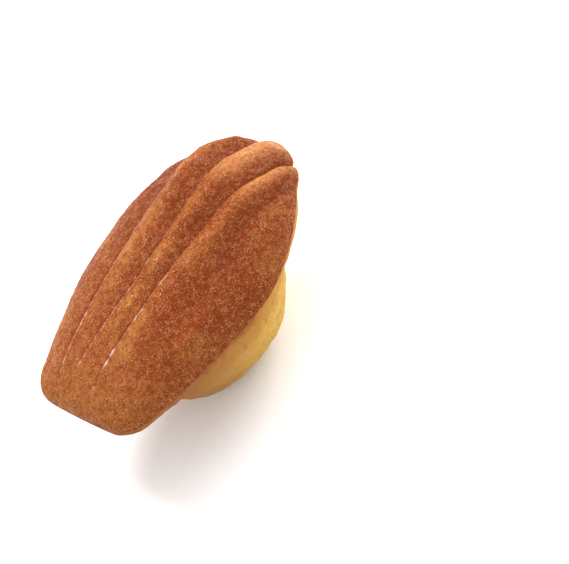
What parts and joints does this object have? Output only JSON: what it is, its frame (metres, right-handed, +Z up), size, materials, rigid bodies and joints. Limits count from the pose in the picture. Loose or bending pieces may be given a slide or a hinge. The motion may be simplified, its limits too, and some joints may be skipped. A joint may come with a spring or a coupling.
{
  "type": "madeleine cake",
  "caption": "Whole shell-shaped sponge cake with lengthwise ribs, a scalloped wide end with a small tab, a straight narrow end and a round baked hump on the underside.",
  "frame": {"origin": "below the middle of the cake, on the plane it rests on", "axes": "+X along the length towards the scalloped end with the tab, +Y across the width, +Z up out of the ribbed shell side"},
  "size_m": [0.0782, 0.0496, 0.0391],
  "materials": {
    "crust": null
  },
  "bodies": {
    "root": {"madeleine": "crust"}
  },
  "joints": []
}
